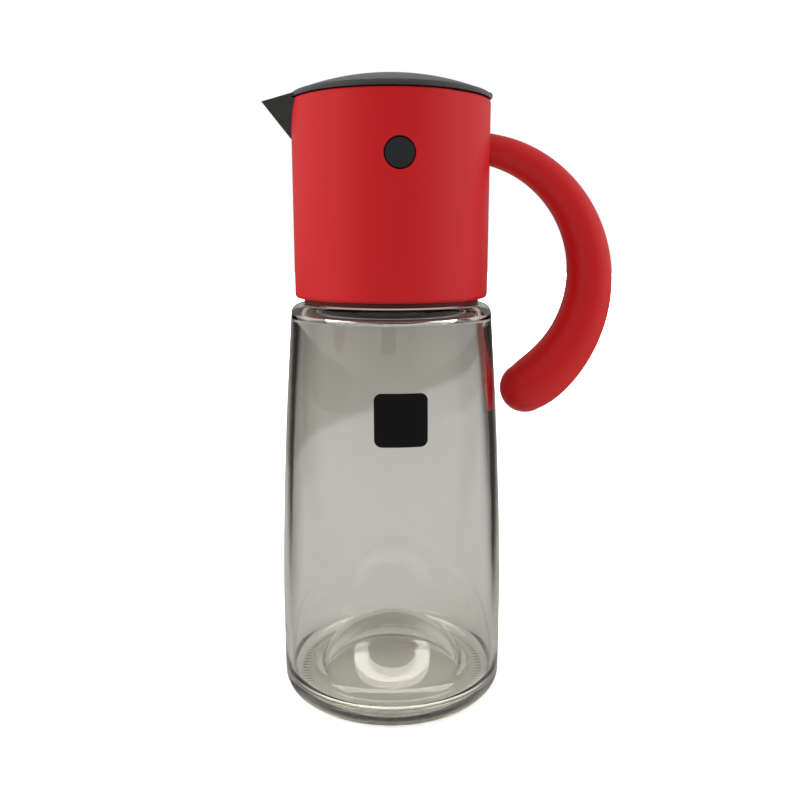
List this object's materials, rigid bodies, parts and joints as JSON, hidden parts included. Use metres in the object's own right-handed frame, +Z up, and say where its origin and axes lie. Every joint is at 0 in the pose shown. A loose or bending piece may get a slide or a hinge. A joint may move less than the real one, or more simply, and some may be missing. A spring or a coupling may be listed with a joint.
{
  "type": "oil dispenser",
  "caption": "Table oil dispenser: glass bottle, screw-on collar with a C handle, pouring beak, and a domed lid that a hanging weight opens when the dispenser is tilted.",
  "frame": {"origin": "centre of the foot ring's plane, on the bottle's axis", "axes": "+Z up along the bottle's axis; the beak points to -X and the handle to +X"},
  "size_m": [0.1302, 0.0856, 0.2308],
  "materials": {
    "smoke_glass": "clear smoke-grey soda-lime glass, blown and fire-polished",
    "label_film": "matte black vinyl label",
    "red_plastic": "satin red moulded ABS",
    "black_plastic": "fine matte charcoal moulded polypropylene",
    "sleeve_plastic": "dark red moulded polypropylene",
    "silicone": "translucent grey silicone",
    "steel": "bright stainless steel"
  },
  "bodies": {
    "bottle": {"glass_bottle": "smoke_glass", "bottle_label": "label_film"},
    "gasket": {"neck_gasket": "silicone"},
    "head": {"collar_shell": "red_plastic", "threaded_sleeve": "sleeve_plastic", "handle": "red_plastic", "handle_backing_plate": "steel", "handle_screws": "steel", "spout_insert": "black_plastic", "insert_seal": "silicone", "button_spring_front": "steel", "button_spring_back": "steel"},
    "lid": {"lid_cover": "black_plastic", "lid_liner": "black_plastic", "lid_gasket": "silicone", "lid_screws": "steel", "counterweight": "steel", "weight_plug": "black_plastic", "hinge_pin": "steel"},
    "button_front": {"release_button_front": "black_plastic"},
    "button_back": {"release_button_back": "black_plastic"}
  },
  "joints": [
    {"name": "collar_lift", "type": "slide", "parent": "bottle", "child": "gasket", "axis": [0, 0, 1], "range_m": [0, 0.0053]},
    {"name": "collar_turn", "type": "hinge", "parent": "gasket", "child": "head", "pos_m": [0, 0, 0.1612], "axis": [0, 0, 1], "range_deg": [0, 450]},
    {"name": "lid_hinge", "type": "hinge", "parent": "head", "child": "lid", "pos_m": [0.034, 0, 0.22345], "axis": [0, 1, 0], "range_deg": [0, 55]},
    {"name": "button_front_press", "type": "slide", "parent": "head", "child": "button_front", "axis": [0, 1, 0], "range_m": [0, 0.0022], "stiffness_N_per_m": 400, "springref_m": -0.002, "deforming": ["button_spring_front"]},
    {"name": "button_back_press", "type": "slide", "parent": "head", "child": "button_back", "axis": [0, -1, 0], "range_m": [0, 0.0022], "stiffness_N_per_m": 400, "springref_m": -0.002, "deforming": ["button_spring_back"]}
  ],
  "couplings": [
    {"joint": "collar_lift", "follows": "collar_turn", "m_per_rad": 0.00067322}
  ]
}
